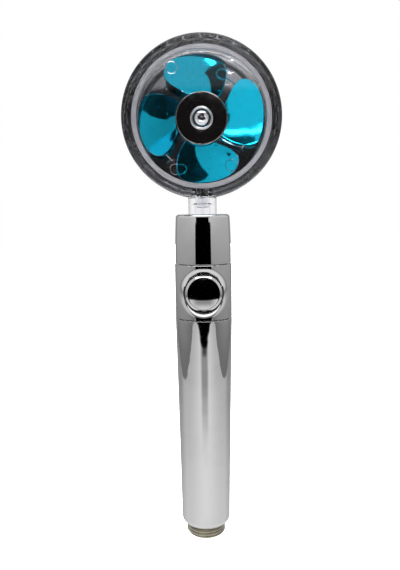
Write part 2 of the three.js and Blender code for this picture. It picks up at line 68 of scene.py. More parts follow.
# ------------------------------------------------------------------ places, from the frame

MM = 0.001


def low(node):
    """The lowest corner of a node's box, in millimetres."""
    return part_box(node)[0] / MM


def high(node):
    """The highest corner of a node's box, in millimetres."""
    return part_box(node)[1] / MM


# Lengths below are in millimetres. "Front" is the distance from the handle's axis towards -Y.
HEAD_Z = (low("spray_cap").z + high("spray_cap").z) / 2
HEAD_R = high("spray_cap").x
FACE = -low("spray_cap").y
SKIRT_BACK = -high("spray_cap").y
PLATE = 2.1
COVER_FRONT = -low("back_cover").y
COVER_BACK = -high("back_cover").y
SEAL_INNER = 32.7
SEAL_OUTER = high("cap_seal").x
SEAL_BACK, SEAL_FRONT = -high("cap_seal").y, -low("cap_seal").y
CHAMBER_R = 33.7
CHAMBER_FLOOR = -3.0
CHAMBER_FRONT = 8.0
# Radius of each ring and its number of holes.
JET_RINGS = ((14, 12), (19.5, 18), (25, 24), (30.5, 30))
MARK_CIRCLE = 28
MARK_ANGLE = 31.5
MARK_R = 3.15
HUB_R = 13.1
HUB_FRONT = 4.2
HUB_BACK = -high("impeller").y
TRIM_BACK = HUB_FRONT + 0.15
TIP_R = high("impeller").x
BLADE_ROOT_R = 12.3
BLADE_TIP_DROP = 4.2
NECK_R = 7.35
STEM_FOOT, STEM_SHOULDER = low("head_body").z, 171
NOZZLE_FOOT, NOZZLE_TOP = low("jet_nozzle").z, high("jet_nozzle").z
COLLAR_FOOT, COLLAR_TOP = low("swivel_collar").z, high("swivel_collar").z
COLLAR_R = high("swivel_collar").x
HOUSING_FOOT, HOUSING_TOP = low("button_housing").z, high("button_housing").z
HOUSING_R = high("button_housing").x
BUTTON_Z = (low("push_button").z + high("push_button").z) / 2
BUTTON_R = high("push_button").x
BUTTON_FACE = -low("push_button").y
SPRING_BACK, SPRING_FRONT = -high("button_spring").y, -low("button_spring").y
GUIDE_FACE = -low("button_guide").y
GUIDE_R = high("button_guide").x
POCKET_R = 10.8
SHELL_FOOT, SHELL_TOP = low("handle_shell").z, high("handle_shell").z
SHELL_R = 15.1
TAPER_FOOT, TAPER_FOOT_R = 11, 13.2
THREAD_R = 10.48
THREAD_ROOT_R = 9.32
THREAD_PITCH = 1.814
THREAD_TOP = 6.2

# ------------------------------------------------------------------ what a user would change


class ShowerSizes(bpy.types.PropertyGroup):
    """Sizes of the fine detail."""

    grip_flutes: bpy.props.IntProperty(
        name="Grip flutes", description="Finger flutes round the spray cap's rim", default=30, min=8, max=60)
    flute_depth: bpy.props.FloatProperty(
        name="Flute depth", description="Depth of each flute", default=0.5 * MM,
        unit="LENGTH", subtype="DISTANCE")
    jet_hole: bpy.props.FloatProperty(
        name="Jet hole", description="Diameter of a jet hole", default=0.35 * MM,
        unit="LENGTH", subtype="DISTANCE")
    edge_round: bpy.props.FloatProperty(
        name="Edge round", description="Width of the small rounds on moulded edges", default=0.25 * MM,
        unit="LENGTH", subtype="DISTANCE")
    blade_thickness: bpy.props.FloatProperty(
        name="Blade thickness", description="Thickness of a propeller blade", default=1.0 * MM,
        unit="LENGTH", subtype="DISTANCE")


class ShowerColours(bpy.types.PropertyGroup):
    """Colours of the finishes and of the floor."""

    chrome: bpy.props.FloatVectorProperty(
        name="Chrome", description="Colour of the chrome plating", subtype="COLOR",
        default=(0.80, 0.80, 0.81))
    dark_mirror: bpy.props.FloatVectorProperty(
        name="Hub mirror", description="Colour of the hub's dark mirror disc", subtype="COLOR",
        default=(0.38, 0.34, 0.32))
    teal: bpy.props.FloatVectorProperty(
        name="Propeller", description="Colour of the propeller's mirror plating", subtype="COLOR",
        default=(0.003, 0.52, 0.72))
    clear: bpy.props.FloatVectorProperty(
        name="Clear plastic", description="Tint of the clear mouldings", subtype="COLOR",
        default=(0.93, 0.93, 0.95))
    silicone: bpy.props.FloatVectorProperty(
        name="Seal", description="Colour of the silicone seal", subtype="COLOR",
        default=(0.77, 0.76, 0.79))
    nickel: bpy.props.FloatVectorProperty(
        name="Thread", description="Colour of the nickel plated inlet", subtype="COLOR",
        default=(0.56, 0.53, 0.44))
    floor: bpy.props.FloatVectorProperty(
        name="Floor", description="Colour of the studio floor", subtype="COLOR",
        default=(0.86, 0.86, 0.86))


# ------------------------------------------------------------------ modelling steps


def deselect():
    """Leaves edit mode and selects nothing."""
    if bpy.context.object and bpy.context.object.mode != "OBJECT":
        bpy.ops.object.mode_set(mode="OBJECT")
    bpy.ops.object.select_all(action="DESELECT")


def make_active(piece):
    """Selects one piece alone, in object mode."""
    deselect()
    piece.select_set(True)
    bpy.context.view_layer.objects.active = piece


def edit(piece):
    """Opens a piece in edit mode with everything selected."""
    make_active(piece)
    bpy.ops.object.mode_set(mode="EDIT")
    bpy.ops.mesh.select_mode(type="VERT")
    bpy.ops.mesh.select_all(action="SELECT")


def done():
    """Leaves edit mode and gives back the piece."""
    bpy.ops.object.mode_set(mode="OBJECT")
    return bpy.context.object


def weld(piece, apart=0.002):
    """Merges points that lie together and turns the faces outwards."""
    edit(piece)
    bpy.ops.mesh.remove_doubles(threshold=apart * MM)
    bpy.ops.mesh.normals_make_consistent(inside=False)
    return done()


def outline_of(name, points):
    """A chain of edges through points, drawn from one vertex, left in edit mode."""
    deselect()
    bpy.ops.mesh.primitive_plane_add(size=MM)
    piece = bpy.context.object
    piece.name = piece.data.name = name
    edit(piece)
    bpy.ops.mesh.merge(type="CENTER")
    bpy.ops.transform.translate(value=points[0])
    for here, there in zip(points, points[1:]):
        bpy.ops.mesh.extrude_vertices_move(TRANSFORM_OT_translate={"value": there - here})
    bpy.ops.mesh.select_all(action="SELECT")
    return piece


def spun(name, outline, steps, height=None, loop=False):
    """Spins an outline of (radius, along): round the Z axis, or round the Y axis at a height."""
    facing = height is not None

    def place(point):
        radius, along = point
        return Vector((radius, -along, height) if facing else (radius, 0, along)) * MM

    points = [place(p) for p in outline]
    if loop:
        points.append(points[0])
    piece = outline_of(name, points)
    bpy.ops.mesh.remove_doubles(threshold=1e-7)
    bpy.ops.mesh.spin(
        steps=steps, angle=2 * math.pi, dupli=False,
        center=(0, 0, height * MM if facing else 0), axis=(0, 1, 0) if facing else (0, 0, 1))
    done()
    return weld(piece)


def rounded(x, y, radius, start, end, steps=6):
    """Points of an arc about (x, y), from one angle to another in degrees."""
    angles = [math.radians(start + (end - start) * i / steps) for i in range(steps + 1)]
    return [(x + radius * math.cos(a), y + radius * math.sin(a)) for a in angles]


def on_face(radius, degrees, front):
    """A point of the head's face, clockwise from the top as seen from the front."""
    a = math.radians(degrees)
    return Vector((radius * math.sin(a), -front, HEAD_Z + radius * math.cos(a))) * MM


def bevel(piece, width, segments=3, angle=30):
    """Rounds the edges that are sharper than an angle in degrees."""
    make_active(piece)
    step = piece.modifiers.new("Rounds", "BEVEL")
    step.width = width
    step.segments = segments
    step.limit_method = "ANGLE"
    step.angle_limit = math.radians(angle)
    bpy.ops.object.modifier_apply(modifier=step.name)
    return piece


def combine(piece, other, operation):
    """Joins, cuts or keeps what is common, and removes the other piece."""
    make_active(piece)
    step = piece.modifiers.new("Cut", "BOOLEAN")
    step.object = other
    step.operation = operation
    step.solver = "EXACT"
    bpy.ops.object.modifier_apply(modifier=step.name)
    bpy.data.objects.remove(other)
    return piece


def smooth(piece, angle=32):
    """Shades a piece smooth, except over edges sharper than an angle in degrees."""
    make_active(piece)
    bpy.ops.object.shade_smooth_by_angle(angle=math.radians(angle))
    step = piece.modifiers.new("Even shading", "WEIGHTED_NORMAL")
    step.keep_sharp = True
    bpy.ops.object.modifier_apply(modifier=step.name)
    return piece


def circle_of(name, count, radius, piece_radius, back, front, sides):
    """Rods along Y, evenly spaced on a circle round the head's axis."""
    deselect()
    middle = on_face(radius, 0, (back + front) / 2)
    bpy.ops.mesh.primitive_cylinder_add(vertices=sides, radius=piece_radius, depth=(front - back) * MM)
    rods = bpy.context.object
    rods.name = rods.data.name = name
    edit(rods)
    bpy.ops.transform.rotate(value=math.pi / 2, orient_axis="X", center_override=(0, 0, 0))
    bpy.ops.transform.translate(value=middle)
    bpy.ops.mesh.spin(
        steps=count - 1, angle=2 * math.pi * (count - 1) / count, dupli=True,
        center=(0, 0, HEAD_Z * MM), axis=(0, 1, 0))
    done()
    return rods


def joined(pieces):
    """Makes one object of several."""
    deselect()
    for piece in pieces:
        piece.select_set(True)
    bpy.context.view_layer.objects.active = pieces[0]
    bpy.ops.object.join()
    return bpy.context.object


def settle(piece, body, slot, material, *nodes):
    """Gives a finished piece its material and body, and hides the nodes that it stands for. The slot is not
    used.
    """
    piece.data.materials.clear()
    piece.data.materials.append(material)
    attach(piece, body)
    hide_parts(*nodes)
    return piece


# ------------------------------------------------------------------ materials


class Nodes:
    """Adds nodes to the node tree of a material or of the world."""

    def __init__(self, tree):
        self.tree = tree

    def node(self, kind, **settings):
        made = self.tree.nodes.new(kind)
        for key, value in settings.items():
            setattr(made, key, value)
        return made

    def link(self, source, target):
        self.tree.links.new(source, target)

    def give(self, socket, value):
        """Feeds a socket from another one, or sets it to a number or a colour."""
        if isinstance(value, bpy.types.NodeSocket):
            self.link(value, socket)
        elif isinstance(value, tuple):
            socket.default_value = (*value, 1)
        else:
            socket.default_value = value

    def split(self, place):
        """X, Y and Z of a place."""
        parts = self.node("ShaderNodeSeparateXYZ")
        self.link(place, parts.inputs["Vector"])
        return tuple(parts.outputs)

    def ranged(self, value, low_in, high_in, low_out=0.0, high_out=1.0):
        """Moves a value softly from one range to another, and holds it at the ends."""
        made = self.node("ShaderNodeMapRange", interpolation_type="SMOOTHSTEP")
        self.link(value, made.inputs["Value"])
        made.inputs["From Min"].default_value = low_in
        made.inputs["From Max"].default_value = high_in
        made.inputs["To Min"].default_value = low_out
        made.inputs["To Max"].default_value = high_out
        return made.outputs["Result"]

    def near(self, value, middle, full, none):
        """1 where a value is close to a middle one, 0 from a wider distance on."""
        apart = self.math("ABSOLUTE", self.math("SUBTRACT", value, middle))
        return self.ranged(apart, full, none, 1.0, 0.0)

    def math(self, operation, *values):
        made = self.node("ShaderNodeMath", operation=operation)
        for socket, value in zip(made.inputs, values):
            self.give(socket, value)
        return made.outputs[0]

    def mixed(self, factor, first, second):
        """Goes from the first colour to the second. A single number is a grey."""
        made = self.node("ShaderNodeMix", data_type="RGBA")
        self.link(factor, made.inputs[0])
        for socket, colour in ((made.inputs[6], first), (made.inputs[7], second)):
            self.give(socket, (colour, colour, colour) if isinstance(colour, float) else colour)
        return made.outputs[2]

    def greys(self, value, stops):
        """Greys read off a value, from stops of (value, grey)."""
        ramp = self.node("ShaderNodeValToRGB")
        self.link(value, ramp.inputs["Fac"])
        while len(ramp.color_ramp.elements) < len(stops):
            ramp.color_ramp.elements.new(1.0)
        for element, (at, grey) in zip(ramp.color_ramp.elements, stops):
            element.position = at
            element.color = (grey, grey, grey, 1)
        return ramp.outputs["Color"]


class Finish(Nodes):
    """A Principled material with patterns on Object coordinates."""

    def __init__(self, name):
        self.material = bpy.data.materials.new(name)
        self.material.use_nodes = True
        super().__init__(self.material.node_tree)
        self.shader = self.tree.nodes["Principled BSDF"]
        self.place = self.node("ShaderNodeTexCoord").outputs["Object"]

    def stretched(self, scale):
        mapping = self.node("ShaderNodeMapping")
        self.link(self.place, mapping.inputs["Vector"])
        mapping.inputs["Scale"].default_value = scale
        return mapping.outputs["Vector"]

    def noise(self, scale, detail, rough=0.55, place=None):
        made = self.node("ShaderNodeTexNoise")
        self.link(place or self.place, made.inputs["Vector"])
        made.inputs["Scale"].default_value = scale
        made.inputs["Detail"].default_value = detail
        made.inputs["Roughness"].default_value = rough
        return made.outputs["Fac"]

    def spots(self, scale, size, soft):
        """1 inside small round spots scattered at random, 0 outside."""
        cells = self.node("ShaderNodeTexVoronoi")
        self.link(self.place, cells.inputs["Vector"])
        cells.inputs["Scale"].default_value = scale
        return self.ranged(cells.outputs["Distance"], size + soft, size)

    def bumped(self, height, depth, strength=1.0, under=None):
        made = self.node("ShaderNodeBump")
        self.link(height, made.inputs["Height"])
        made.inputs["Distance"].default_value = depth
        made.inputs["Strength"].default_value = strength
        if under:
            self.link(under, made.inputs["Normal"])
        return made.outputs["Normal"]

    def set(self, **values):
        """Feeds the shader's sockets, named with underlines for blanks."""
        for key, value in values.items():
            self.give(self.shader.inputs[key.replace("_", " ")], value)
        return self.material


def shade(colour, by):
    """A colour made lighter or darker."""
    return tuple(min(1.0, c * by) for c in colour)


def plated(name, colour, gloss=0.02, ripple=0.12, lacquer=0.0):
    """Mirror plating over a moulding: soft waves, faint smears, fine scratches and a few dust specks."""
    finish = Finish(name)
    cloudy = finish.noise(38, 5, 0.6)
    smears = finish.ranged(cloudy, 0.42, 0.7)
    scratches = finish.ranged(finish.noise(60, 3, 0.7, finish.stretched((9, 9, 0.7))), 0.64, 0.72)
    specks = finish.spots(420, 0.03, 0.05)
    rough = finish.ranged(cloudy, 0.35, 0.8, gloss, gloss + 0.05)
    tint = finish.mixed(smears, colour, shade(colour, 0.93))
    tint = finish.mixed(specks, tint, shade(colour, 0.8))
    waves = finish.bumped(finish.noise(55, 2, 0.4), ripple * MM)
    lines = finish.bumped(scratches, 0.0006 * MM, 0.6, waves)
    return finish.set(
        Base_Color=tint, Metallic=1.0, Roughness=rough, Normal=lines, Coat_Weight=lacquer, Coat_Normal=waves)


def clear_moulding(name, colour):
    """Clear plastic with faint flow lines, soft haze and tiny marks. Gives its tint and haze as well."""
    finish = Finish(name)
    haze = finish.ranged(finish.noise(45, 5, 0.6), 0.45, 0.8, 0.02, 0.06)
    flow = finish.bumped(finish.noise(30, 2, 0.5, finish.stretched((1, 1, 3))), 0.004 * MM)
    marks = finish.spots(260, 0.02, 0.04)
    tint = finish.mixed(marks, colour, shade(colour, 0.85))
    finish.set(Base_Color=tint, Roughness=haze, Normal=flow, IOR=1.49, Transmission_Weight=1.0)
    return finish, tint, haze


def head_place(finish):
    """Where a point is on the head: radius, height and turn round its axis, distance aside and depth."""
    aside, depth, up = finish.split(finish.place)
    height = finish.math("SUBTRACT", up, HEAD_Z * MM)
    squares = finish.math(
        "ADD", finish.math("MULTIPLY", aside, aside), finish.math("MULTIPLY", height, height))
    return SimpleNamespace(
        radius=finish.math("SQRT", squares), height=height, turn=finish.math("ARCTAN2", aside, height),
        aside=aside, depth=depth)


def clear_cap(name, colour):
    """The clear moulding with a painted dark outline at the rim, darker towards the top: painted shade where
    the rim turns away from the eye.
    """
    finish, tint, _ = clear_moulding(name, colour)
    at = head_place(finish)
    # Painted shade: a near-black outline at the rim, stronger towards the top of the head.
    edge = finish.ranged(at.radius, (HEAD_R - 0.8) * MM, (HEAD_R - 0.5) * MM)
    upper = finish.ranged(at.height, -22 * MM, 5 * MM, 0.25, 1.0)
    finish.set(Base_Color=finish.mixed(finish.math("MULTIPLY", edge, upper), tint, shade(colour, 0.03)))


def clear_chamber(name, colour, ribs):
    """The clear moulding with a rougher thread band. Its colour is painted light: painted highlights in white
    strokes at the flutes and a white ring, and painted shade in fine dark rings, a near-black ring and a dark
    line at the front lip, all on the upper part.
    """
    painted_glint_r, painted_dark_ring_r, painted_bright_ring_r, band_r, pitch = 38.6, 37.2, 36.2, 35.3, 0.8
    finish, tint, haze = clear_moulding(name, colour)
    at = head_place(finish)

    # Painted highlights: white strokes at each flute, at one radius of the band.
    rib = finish.ranged(finish.math("COSINE", finish.math("MULTIPLY", at.turn, ribs)), 0.2, 0.7)
    painted_glint_strokes = finish.math("MULTIPLY", rib, finish.near(at.radius, painted_glint_r * MM, 0.25 * MM, 0.5 * MM))
    # Painted shade: a near-black ring round the band.
    turn = finish.near(at.radius, painted_dark_ring_r * MM, 0.3 * MM, 0.6 * MM)
    # Painted highlight: the band is white inside this radius.
    painted_bright_ring = finish.ranged(at.radius, painted_bright_ring_r * MM, (painted_bright_ring_r + 0.3) * MM, 1.0, 0.0)
    # Painted shade: fine rings, much darker than the clear tint.
    fine = finish.math("COSINE", finish.math("MULTIPLY", at.radius, 2 * math.pi / (pitch * MM)))
    painted_band_light_and_shade = finish.mixed(finish.ranged(fine, -0.6, 0.6), shade(colour, 0.2), shade(colour, 0.55))
    painted_band_light_and_shade = finish.mixed(painted_glint_strokes, painted_band_light_and_shade, 1.0)
    painted_band_light_and_shade = finish.mixed(turn, painted_band_light_and_shade, shade(colour, 0.04))
    painted_band_light_and_shade = finish.mixed(painted_bright_ring, painted_band_light_and_shade, 1.0)
    # The painted light and shade above are kept to the upper part of the head; lower down the band is a plain
    # tint a little darker than the clear one.
    upper = finish.ranged(at.height, -24 * MM, -4 * MM)
    painted_band_colour = finish.mixed(upper, shade(colour, 0.85), painted_band_light_and_shade)

    beside_neck = finish.ranged(finish.math("ABSOLUTE", at.aside), 4.0 * MM, 5.5 * MM)
    beside_neck = finish.math("MAXIMUM", beside_neck, finish.ranged(at.height, -2 * MM, 2 * MM))
    on_head = finish.ranged(at.height, (0.2 - HEAD_R) * MM, (2 - HEAD_R) * MM)
    band = finish.math("MULTIPLY", on_head, finish.ranged(at.radius, band_r * MM, (band_r + 0.6) * MM))
    band = finish.math("MULTIPLY", band, beside_neck)

    # Painted shade: a dark line on the chamber's front lip at the bore, on the upper part.
    at_front = finish.ranged(at.depth, (0.4 - CHAMBER_FRONT) * MM, (1.4 - CHAMBER_FRONT) * MM, 1.0, 0.0)
    at_bore = finish.ranged(at.radius, (CHAMBER_R + 0.2) * MM, (CHAMBER_R + 0.4) * MM, 1.0, 0.0)
    lip = finish.math("MULTIPLY", finish.math("MULTIPLY", at_front, at_bore), upper)
    finish.set(
        Base_Color=finish.mixed(band, finish.mixed(lip, tint, shade(colour, 0.06)), painted_band_colour),
        Roughness=finish.math("ADD", haze, finish.math("MULTIPLY", band, 0.25)))


def moulded(name, colour, rough):
    """Opaque moulded plastic or rubber with a fine grain."""
    finish = Finish(name)
    mottle = finish.noise(90, 4)
    tint = finish.mixed(mottle, shade(colour, 0.9), shade(colour, 1.08))
    uneven = finish.ranged(mottle, 0.3, 0.7, rough - 0.07, rough + 0.07)
    skin = finish.bumped(finish.noise(700, 3), 0.01 * MM)
    return finish.set(Base_Color=tint, Roughness=uneven, Normal=skin)


def drawn_metal(name, colour, rough=0.25):
    """Bright drawn or turned metal, with rings of tool marks and darker patches at random."""
    finish = Finish(name)
    rings = finish.noise(900, 2, 0.5, finish.stretched((0.15, 0.15, 4)))
    cloudy = finish.noise(160, 5, 0.65)
    stains = finish.ranged(cloudy, 0.5, 0.75)
    tint = finish.mixed(stains, colour, shade(colour, 0.62))
    uneven = finish.ranged(cloudy, 0.35, 0.75, rough - 0.06, rough + 0.16)
    marks = finish.bumped(rings, 0.003 * MM)
    return finish.set(Base_Color=tint, Metallic=1.0, Roughness=uneven, Normal=marks)


def finishes():
    """All finishes by name, made once."""
    if "Chrome plate" not in bpy.data.materials:
        colours = bpy.context.scene.shower_colours
        plated("Chrome plate", tuple(colours.chrome))
        plated("Teal mirror", tuple(colours.teal), 0.03, 0.05, 0.2)
        plated("Dark mirror", tuple(colours.dark_mirror))
        clear_moulding("Clear moulding", tuple(colours.clear))
        clear_cap("Clear cap", tuple(colours.clear))
        clear_chamber("Clear chamber", tuple(colours.clear), bpy.context.scene.shower_sizes.grip_flutes)
        moulded("Silicone seal", tuple(colours.silicone), 0.35)
        moulded("Black rubber", (0.025, 0.025, 0.027), 0.6)
        moulded("Black moulding", (0.018, 0.018, 0.02), 0.35)
        moulded("White moulding", (0.78, 0.76, 0.72), 0.45)
        drawn_metal("Nickel plate", tuple(colours.nickel))
        drawn_metal("Drawn steel", (0.6, 0.6, 0.6), 0.28)
    return bpy.data.materials


# ------------------------------------------------------------------ head


def spray_cap(sizes):
    """Clear cap: plate and skirt in one, finger flutes round the rim, marks inside and jets right through."""
    inner = FACE - PLATE
    corner, wall, chamfer = 1.3, 2.6, 0.3
    cap = spun("spray_cap_clear", [
        (0, FACE), *rounded(HEAD_R - corner, FACE - corner, corner, 90, 0), (HEAD_R, SKIRT_BACK + chamfer),
        (HEAD_R - chamfer, SKIRT_BACK), (HEAD_R - wall, SKIRT_BACK), (HEAD_R - wall, inner), (0, inner),
    ], 180, HEAD_Z)
    edit(cap)
    bpy.ops.mesh.dissolve_limited(angle_limit=math.radians(0.2))
    done()
    flute_r = 1.7
    flutes = circle_of(
        "flutes", sizes.grip_flutes, HEAD_R + flute_r - sizes.flute_depth / MM, flute_r * MM,
        SKIRT_BACK - 2, FACE - 1.9, 24)
    combine(cap, flutes, "DIFFERENCE")
    for angle in (-MARK_ANGLE, MARK_ANGLE, 180 - MARK_ANGLE, 180 + MARK_ANGLE):
        combine(cap, mark(angle, inner), "UNION")
    jets = [
        circle_of("jets", count, radius, sizes.jet_hole / 2, inner - 1, FACE + 1, 8)
        for radius, count in JET_RINGS
    ]
    combine(cap, joined(jets), "DIFFERENCE")
    return smooth(cap)


def mark(angle, inner):
    """A round moulding mark: a thin disc with a raised rim on the inside of the plate."""
    root, flat, side, crest = inner + 0.3, inner - 0.08, inner - 0.15, inner - 0.3
    rim, round_off = MARK_R - 0.5, 0.15
    disc = spun("mark", [
        (0, root), (MARK_R, root), (MARK_R, side), (MARK_R - round_off, crest), (rim + round_off, crest),
        (rim, side), (rim, flat), (0, flat),
    ], 48, HEAD_Z)
    edit(disc)
    place = on_face(MARK_CIRCLE, angle, 0)
    bpy.ops.transform.translate(value=(place.x, 0, place.z - HEAD_Z * MM))
    return done()


def chamber(sizes):
    """Clear chamber, closed at the back, with its neck and the hollow stem that turns in the handle."""
    flange = SKIRT_BACK - 0.3
    back = COVER_FRONT + 0.3
    thread = HEAD_R - 2.9
    boss_r, boss = 4.2, CHAMBER_FLOOR + 1.4
    axle_r, axle_end = 1.55, back + 0.8
    pot = spun("head_chamber", [
        (0, back), (HEAD_R, back), (HEAD_R, flange), (thread, flange), (thread, CHAMBER_FRONT),
        (CHAMBER_R, CHAMBER_FRONT), (CHAMBER_R, CHAMBER_FLOOR), (boss_r, CHAMBER_FLOOR), (boss_r, boss),
        (axle_r, boss), (axle_r, axle_end), (0, axle_end),
    ], 160, HEAD_Z)
    bevel(pot, sizes.edge_round * 0.8)
    stem_r, ring_r, clip_r = 6.0, 4.6, 5.0
    clip_foot, clip_top = 152.8, 154.2
    chamfer = 0.4
    neck_top = HEAD_Z - CHAMBER_R - 2
    grooves = []
    for ring in ("stem_o_ring_lower", "stem_o_ring_upper"):
        middle = (low(ring).z + high(ring).z) / 2
        foot, top = middle - 0.8, middle + 0.8
        grooves += [(stem_r, foot), (ring_r, foot), (ring_r, top), (stem_r, top)]
    stem = spun("stem", [
        (0, STEM_FOOT), (stem_r - chamfer, STEM_FOOT), (stem_r, STEM_FOOT + chamfer), (stem_r, clip_foot),
        (clip_r, clip_foot), (clip_r, clip_top), (stem_r, clip_top), *grooves, (stem_r, STEM_SHOULDER),
        (NECK_R, STEM_SHOULDER), (NECK_R, neck_top), (0, neck_top),
    ], 96)
    for rod_back, rod_front in ((flange, NECK_R + 1), (-NECK_R - 1, back)):
        clear = spun("clear", [
            (0, rod_front), (HEAD_R + 0.3, rod_front), (HEAD_R + 0.3, rod_back), (0, rod_back),
        ], 160, HEAD_Z)
        combine(stem, clear, "DIFFERENCE")
    combine(pot, stem, "UNION")
    bore_r, nozzle_r = 3.6, 3.15
    bore = spun("bore", [
        (0, STEM_FOOT - 1), (bore_r, STEM_FOOT - 1), (bore_r, NOZZLE_FOOT + 1.6),
        (nozzle_r, NOZZLE_FOOT + 2.2), (nozzle_r, NOZZLE_TOP + 3), (0, NOZZLE_TOP + 3),
    ], 48)
    combine(pot, bore, "DIFFERENCE")
    return smooth(pot)


def seal():
    """A soft ring that slopes away outwards from a rounded inner lip."""
    lip_r, drop, steps = 0.5, 1.0, 10
    width = SEAL_OUTER - SEAL_INNER - lip_r
    slope = [
        (SEAL_OUTER - width * i / steps, SEAL_FRONT - drop * (1 - i / steps) ** 1.4)
        for i in range(steps)
    ]
    lip = rounded(SEAL_INNER + lip_r, SEAL_FRONT - lip_r, lip_r, 90, 180)
    ring = spun("cap_seal_ring", [
        (SEAL_INNER, SEAL_BACK), (SEAL_OUTER, SEAL_BACK), *slope, *lip,
    ], 160, HEAD_Z, loop=True)
    return smooth(ring)


def back_cover():
    """Chromed back: a flat mirror with a shallow step towards the chamber, and a low dome outside."""
    rim, rim_front = 1.4, COVER_BACK + 2.4
    step_r, step = 25, 0.6
    dome_r, dome_height = 34, 0.9
    dome = [(r, COVER_BACK + dome_height * (r / dome_r) ** 2) for r in (*range(dome_r, 2, -4), 3, 0)]
    cover = spun("back_cover_dome", [
        (0, COVER_FRONT - step), (step_r, COVER_FRONT - step), (step_r + step, COVER_FRONT),
        (HEAD_R - 0.2, COVER_FRONT), (HEAD_R, COVER_FRONT - 0.2),
        *rounded(HEAD_R - rim, rim_front, rim, 0, -60), *dome,
    ], 160, HEAD_Z)
    return smooth(cover)


def nozzle():
    """A short tube with a wider, rounded foot."""
    foot_r, tube_r, bore_r = 3.4, 3.0, 2.0
    foot_round, chamfer = 0.6, 0.3
    tube = spun("water_nozzle", [
        (bore_r, NOZZLE_FOOT + 0.5), (bore_r + 0.5, NOZZLE_FOOT),
        *rounded(foot_r - foot_round, NOZZLE_FOOT + foot_round, foot_round, -90, 0, 8),
        (tube_r, NOZZLE_FOOT + 1.9), (tube_r, NOZZLE_TOP - chamfer), (tube_r - chamfer, NOZZLE_TOP),
        (bore_r, NOZZLE_TOP),
    ], 96, loop=True)
    return smooth(tube, 45)


class SHOWER_OT_head(bpy.types.Operator):
    """Builds the clear head: cap, chamber, seal, back cover and nozzle"""

    bl_idname = "shower.head"
    bl_label = "Clear head"

    def execute(self, context):
        sizes = context.scene.shower_sizes
        looks = finishes()
        settle(spray_cap(sizes), "head", "clear_plastic", looks["Clear cap"], "spray_cap")
        settle(chamber(sizes), "head", "clear_plastic", looks["Clear chamber"], "head_body")
        settle(seal(), "head", "silicone", looks["Silicone seal"], "cap_seal")
        settle(back_cover(), "head", "chrome_plate", looks["Chrome plate"], "back_cover")
        settle(nozzle(), "head", "clear_plastic", looks["Clear moulding"], "jet_nozzle")
        return {"FINISHED"}


# ------------------------------------------------------------------ propeller


def blade_point(share, across, centre):
    """A point of a blade's middle surface: share runs from root to tip, across from -1, the leading edge."""
    reach = TIP_R - BLADE_TIP_DROP * abs(across) ** 6 - BLADE_ROOT_R
    leading = 25 + 48 * share - 31 * share ** 2
    trailing = 38.5 - 10.5 * share ** 1.8
    swing = across * (leading if across < 0 else trailing)
    towards = (trailing - swing) / (trailing + leading)
    rise = 4.2 + 8 * share - 4 * share ** 2
    curl = (0.65 - 0.3 * share) * 0.2 * max(0.0, (towards - 0.8) / 0.2) ** 2
    front = -0.7 + rise * (towards ** 1.35 - curl)
    return on_face(BLADE_ROOT_R + reach * share, centre + swing, front)


def blade(sizes, number):
    """One of the four blades: a curved sheet given its thickness and rounded edges."""
    rows = 28
    deselect()
    bpy.ops.mesh.primitive_grid_add(x_subdivisions=rows, y_subdivisions=rows, size=2)
    piece = bpy.context.object
    for vertex in piece.data.vertices:
        share, across = (vertex.co.x + 1) / 2, vertex.co.y
        vertex.co = blade_point(share, across, 90 * number)
    step = piece.modifiers.new("Thickness", "SOLIDIFY")
    step.thickness = sizes.blade_thickness
    step.offset = 0
    bpy.ops.object.modifier_apply(modifier=step.name)
    bevel(piece, sizes.blade_thickness * 0.35, 2, 50)
    return weld(piece, 0.0005)


def propeller(sizes):
    """The hub, open at the back round its bearing, with four blades."""
    wall, web = 1.6, 1.8
    bearing_r, boss_r, boss_back = 2.55, 3.6, HUB_BACK + 0.8
    seat_r, seat = 2.9, 2.9
    hub = spun("propeller", [
        (bearing_r, boss_back), (boss_r, boss_back), (boss_r, HUB_FRONT - web),
        (HUB_R - wall, HUB_FRONT - web), (HUB_R - wall, HUB_BACK), (HUB_R, HUB_BACK), (HUB_R, HUB_FRONT),
        (seat_r, HUB_FRONT), (seat_r, seat), (bearing_r, seat),
    ], 128, HEAD_Z, loop=True)
    bevel(hub, sizes.edge_round * 0.8)
    for number in range(4):
        combine(hub, blade(sizes, number), "UNION")
    return smooth(hub, 40)


def hub_cap(sizes):
    """The flat mirror disc with a sloped edge."""
    hole_r, rim_r, thickness = 4.3, HUB_R + 0.2, 0.9
    front = TRIM_BACK + thickness
    cap = spun("hub_mirror", [
        (hole_r, TRIM_BACK), (rim_r, TRIM_BACK), (rim_r, TRIM_BACK + thickness / 2), (rim_r - 0.45, front),
        (hole_r, front),
    ], 128, HEAD_Z, loop=True)
    bevel(cap, sizes.edge_round * 0.4, 2, 20)
    return smooth(cap, 20)


def hub_ring(sizes):
    """The trim ring, chamfered on both sides."""
    inner, outer, chamfer = 4.7, 5.9, 0.4
    back, side, front = 5.35, 5.6, 5.95
    ring = spun("hub_trim_ring", [
        (inner, back), (outer, back), (outer, side), (outer - chamfer, front), (inner + chamfer, front),
        (inner, side),
    ], 96, HEAD_Z, loop=True)
    bevel(ring, sizes.edge_round * 0.5, 3)
    return smooth(ring)


def hub_dome():
    """The round button in the hub's middle."""
    top, radius = 6.4, high("hub_dome").x
    skirt = TRIM_BACK + 0.6
    arc = [(radius * math.cos(a), skirt + (top - skirt) * math.sin(a))
           for a in (math.radians(90 * i / 12) for i in range(13))]
    return smooth(spun("hub_button", [(0, TRIM_BACK), (radius, TRIM_BACK), *arc[:-1], (0, top)], 96, HEAD_Z))


